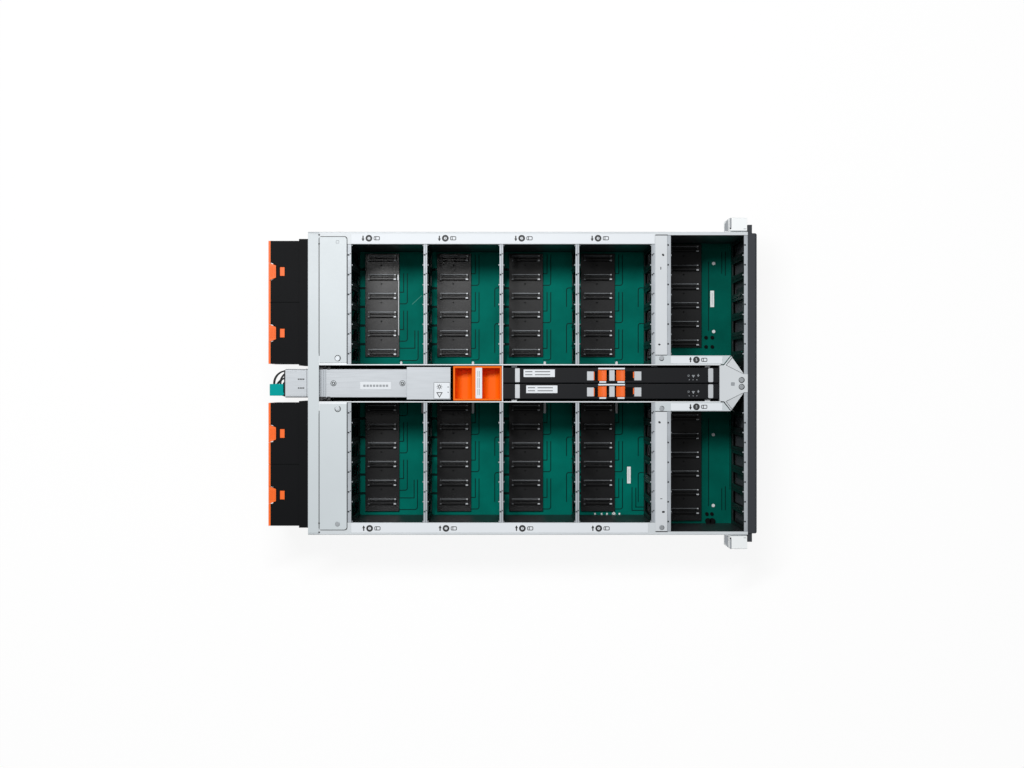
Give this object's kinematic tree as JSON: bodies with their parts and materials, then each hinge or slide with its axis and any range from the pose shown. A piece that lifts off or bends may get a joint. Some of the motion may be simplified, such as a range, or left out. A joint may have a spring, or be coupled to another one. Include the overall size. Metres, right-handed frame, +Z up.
{
  "type": "disk shelf enclosure",
  "caption": "Four-unit top-loading disk shelf with open drive bays, hot-swap fans and power supplies, and lift-out modules in a centre channel.",
  "frame": {"origin": "centre of the bounding box at the bottom face of the base pan", "axes": "+X along the depth towards the front bezel, +Y to the left side wall, +Z up out of the open bays"},
  "size_m": [0.7118, 0.4826, 0.1764],
  "materials": {
    "pale_steel": "satin powder coat",
    "wall_steel": "plain zinc",
    "cage_steel": "brushed zinc",
    "ear_paint": "satin",
    "board_green": "solder mask",
    "socket_black": "moulded",
    "screw_steel": "turned",
    "bezel_grey": "moulded",
    "fan_black": "moulded",
    "release_orange": "moulded",
    "rotor_black": "moulded",
    "psu_steel": "plain",
    "psu_black": "moulded",
    "pad_teal": "moulded",
    "module_black": "satin",
    "pad_orange": "moulded",
    "carrier_orange": "moulded"
  },
  "bodies": {
    "root": {"base_pan": "pale_steel", "baseboard_front": "board_green", "baseboard_rear": "board_green", "bay_wall_1": "wall_steel", "bay_wall_2": "wall_steel", "bay_wall_3": "wall_steel", "bay_wall_4": "wall_steel", "bay_wall_5": "wall_steel", "bezel": "bezel_grey", "channel_covers": "cage_steel", "channel_wall_left": "wall_steel", "channel_wall_right": "wall_steel", "cover_screws": "screw_steel", "drive_sockets_row_1": "socket_black", "drive_sockets_row_2": "socket_black", "drive_sockets_row_3": "socket_black", "drive_sockets_row_4": "socket_black", "drive_sockets_row_5": "socket_black", "fan_bay_frames": "fan_black", "front_apex": "pale_steel", "front_rails": "pale_steel", "front_wall": "wall_steel", "partition_plates": "pale_steel", "port_panels": "cage_steel", "psu_cage": "cage_steel", "rack_ears": "ear_paint", "rear_covers": "pale_steel", "rear_frame": "pale_steel", "row5_rear_wall": "wall_steel", "side_wall_left": "pale_steel", "side_wall_right": "pale_steel"},
    "fan_module_1": {"fan_housing_1": "fan_black", "fan_face_1": "release_orange"},
    "fan_rotor_1": {"fan_rotor_1": "rotor_black"},
    "fan_latch_1": {"fan_latch_1": "release_orange"},
    "fan_module_2": {"fan_housing_2": "fan_black", "fan_face_2": "release_orange"},
    "fan_rotor_2": {"fan_rotor_2": "rotor_black"},
    "fan_latch_2": {"fan_latch_2": "release_orange"},
    "fan_module_3": {"fan_housing_3": "fan_black", "fan_face_3": "release_orange"},
    "fan_rotor_3": {"fan_rotor_3": "rotor_black"},
    "fan_latch_3": {"fan_latch_3": "release_orange"},
    "fan_module_4": {"fan_housing_4": "fan_black", "fan_face_4": "release_orange"},
    "fan_rotor_4": {"fan_rotor_4": "rotor_black"},
    "fan_latch_4": {"fan_latch_4": "release_orange"},
    "power_supply_1": {"psu_case_1": "psu_steel", "psu_rear_1": "psu_black"},
    "psu_lever_1": {"psu_latch_1": "pad_teal"},
    "power_supply_2": {"psu_case_2": "psu_steel", "psu_rear_2": "psu_black"},
    "psu_lever_2": {"psu_latch_2": "pad_teal"},
    "io_module_1": {"io_case_1": "module_black"},
    "io_pad_front_1": {"io_latch_front_1": "pad_orange"},
    "io_pad_rear_1": {"io_latch_rear_1": "pad_orange"},
    "io_module_2": {"io_case_2": "module_black"},
    "io_pad_front_2": {"io_latch_front_2": "pad_orange"},
    "io_pad_rear_2": {"io_latch_rear_2": "pad_orange"},
    "lift_carrier": {"lift_carrier": "carrier_orange"}
  },
  "joints": [
    {"name": "fan_slide_1", "type": "slide", "parent": "root", "child": "fan_module_1", "axis": [-1, 0, 0], "range_m": [0, 0.11]},
    {"name": "fan_spin_1", "type": "hinge", "parent": "fan_module_1", "child": "fan_rotor_1", "pos_m": [-0.3284, 0.16307, 0.124], "axis": [1, 0, 0], "continuous": true},
    {"name": "fan_release_1", "type": "slide", "parent": "fan_module_1", "child": "fan_latch_1", "axis": [0, 0, -1], "range_m": [0, 0.0025], "stiffness_N_per_m": 500, "springref_m": -0.001},
    {"name": "fan_slide_2", "type": "slide", "parent": "root", "child": "fan_module_2", "axis": [-1, 0, 0], "range_m": [0, 0.11]},
    {"name": "fan_spin_2", "type": "hinge", "parent": "fan_module_2", "child": "fan_rotor_2", "pos_m": [-0.3284, 0.07322, 0.124], "axis": [1, 0, 0], "continuous": true},
    {"name": "fan_release_2", "type": "slide", "parent": "fan_module_2", "child": "fan_latch_2", "axis": [0, 0, -1], "range_m": [0, 0.0025], "stiffness_N_per_m": 500, "springref_m": -0.001},
    {"name": "fan_slide_3", "type": "slide", "parent": "root", "child": "fan_module_3", "axis": [-1, 0, 0], "range_m": [0, 0.11]},
    {"name": "fan_spin_3", "type": "hinge", "parent": "fan_module_3", "child": "fan_rotor_3", "pos_m": [-0.3284, -0.07322, 0.124], "axis": [1, 0, 0], "continuous": true},
    {"name": "fan_release_3", "type": "slide", "parent": "fan_module_3", "child": "fan_latch_3", "axis": [0, 0, -1], "range_m": [0, 0.0025], "stiffness_N_per_m": 500, "springref_m": -0.001},
    {"name": "fan_slide_4", "type": "slide", "parent": "root", "child": "fan_module_4", "axis": [-1, 0, 0], "range_m": [0, 0.11]},
    {"name": "fan_spin_4", "type": "hinge", "parent": "fan_module_4", "child": "fan_rotor_4", "pos_m": [-0.3284, -0.16307, 0.124], "axis": [1, 0, 0], "continuous": true},
    {"name": "fan_release_4", "type": "slide", "parent": "fan_module_4", "child": "fan_latch_4", "axis": [0, 0, -1], "range_m": [0, 0.0025], "stiffness_N_per_m": 500, "springref_m": -0.001},
    {"name": "psu_slide_1", "type": "slide", "parent": "root", "child": "power_supply_1", "axis": [-1, 0, 0], "range_m": [0, 0.17]},
    {"name": "psu_release_1", "type": "hinge", "parent": "power_supply_1", "child": "psu_lever_1", "pos_m": [-0.3364, -0.0152, 0.07125], "axis": [0, 0, -1], "range_deg": [0, 6], "stiffness_Nm_per_rad": 0.3, "springref_deg": -2.86},
    {"name": "psu_slide_2", "type": "slide", "parent": "root", "child": "power_supply_2", "axis": [-1, 0, 0], "range_m": [0, 0.17]},
    {"name": "psu_release_2", "type": "hinge", "parent": "power_supply_2", "child": "psu_lever_2", "pos_m": [-0.3364, -0.0152, 0.14665], "axis": [0, 0, -1], "range_deg": [0, 6], "stiffness_Nm_per_rad": 0.3, "springref_deg": -2.86},
    {"name": "io_lift_1", "type": "slide", "parent": "root", "child": "io_module_1", "axis": [0, 0, 1], "range_m": [0, 0.15]},
    {"name": "io_squeeze_front_1", "type": "slide", "parent": "io_module_1", "child": "io_pad_front_1", "axis": [-1, 0, 0], "range_m": [0, 0.003], "stiffness_N_per_m": 600, "springref_m": -0.001},
    {"name": "io_squeeze_rear_1", "type": "slide", "parent": "io_module_1", "child": "io_pad_rear_1", "axis": [1, 0, 0], "range_m": [0, 0.003], "stiffness_N_per_m": 600, "springref_m": -0.001},
    {"name": "io_lift_2", "type": "slide", "parent": "root", "child": "io_module_2", "axis": [0, 0, 1], "range_m": [0, 0.15]},
    {"name": "io_squeeze_front_2", "type": "slide", "parent": "io_module_2", "child": "io_pad_front_2", "axis": [-1, 0, 0], "range_m": [0, 0.003], "stiffness_N_per_m": 600, "springref_m": -0.001},
    {"name": "io_squeeze_rear_2", "type": "slide", "parent": "io_module_2", "child": "io_pad_rear_2", "axis": [1, 0, 0], "range_m": [0, 0.003], "stiffness_N_per_m": 600, "springref_m": -0.001},
    {"name": "carrier_lift", "type": "slide", "parent": "root", "child": "lift_carrier", "axis": [0, 0, 1], "range_m": [0, 0.15]}
  ],
  "couplings": [
    {"joint": "io_squeeze_rear_1", "follows": "io_squeeze_front_1", "ratio": 1},
    {"joint": "io_squeeze_rear_2", "follows": "io_squeeze_front_2", "ratio": 1}
  ]
}
